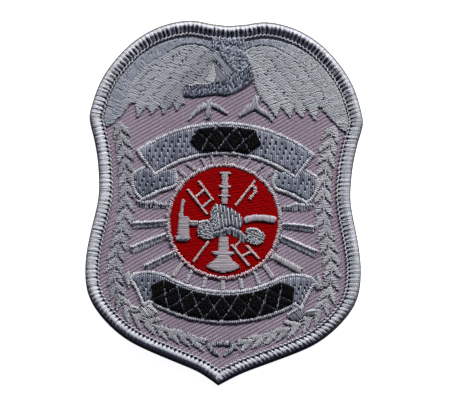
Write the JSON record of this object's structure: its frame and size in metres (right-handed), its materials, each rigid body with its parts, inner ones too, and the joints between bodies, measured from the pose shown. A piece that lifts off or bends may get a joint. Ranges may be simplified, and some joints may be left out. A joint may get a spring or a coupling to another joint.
{
  "type": "embroidered badge patch",
  "caption": "Embroidered cloth patch shaped as a shield badge, with an eagle, ribbons of black lozenges, laurels and a red medallion of tools in a raised border.",
  "frame": {"origin": "middle of the patch, on the flat back that lies against the garment", "axes": "+X across the patch, to the right as it is looked at; +Y up the patch, towards the eagle; +Z out of the front"},
  "size_m": [0.0672, 0.089, 0.0024],
  "materials": {
    "twill": "matte twill weave",
    "border_thread": "satin thread",
    "red_thread": "satin thread",
    "black_thread": "satin thread",
    "ribbon_thread": "matte filled stitching",
    "silver_thread": "satin thread"
  },
  "bodies": {
    "root": {"twill_ground": "twill", "merrowed_border": "border_thread", "medallion_disc": "red_thread", "medallion_ring": "silver_thread", "upper_ribbon": "ribbon_thread", "upper_edging": "silver_thread", "upper_lozenges": "black_thread", "upper_tail_left": "ribbon_thread", "upper_tail_right": "ribbon_thread", "tail_edging_left": "silver_thread", "tail_edging_right": "silver_thread", "upper_curl_left": "silver_thread", "upper_curl_right": "silver_thread", "lower_ribbon": "ribbon_thread", "lower_edging": "silver_thread", "lower_lozenges": "black_thread", "lower_fold_left": "silver_thread", "lower_fold_right": "silver_thread", "knot_left": "silver_thread", "knot_right": "silver_thread", "knot_end_left": "silver_thread", "knot_end_right": "silver_thread", "wing_left": "silver_thread", "wing_right": "silver_thread", "wing_band_left": "silver_thread", "wing_band_right": "silver_thread", "crest": "silver_thread", "neck": "silver_thread", "beak": "silver_thread", "eagle_body": "ribbon_thread", "leg_left": "silver_thread", "leg_right": "silver_thread", "laurel_left": "silver_thread", "laurel_right": "silver_thread", "laurel_tie": "silver_thread", "rays_upper": "silver_thread", "rays_left": "silver_thread", "rays_right": "silver_thread", "rays_lower": "silver_thread", "helmet_crown": "silver_thread", "helmet_front": "silver_thread", "helmet_brim": "silver_thread", "helmet_rear": "silver_thread", "bugle_upper": "silver_thread", "bugle_lower": "silver_thread", "ladder_upper": "silver_thread", "ladder_lower": "silver_thread", "pike_pole": "silver_thread", "pike_shaft": "silver_thread", "nozzle": "silver_thread", "axe_handle": "silver_thread", "axe_grip": "silver_thread"}
  },
  "joints": []
}
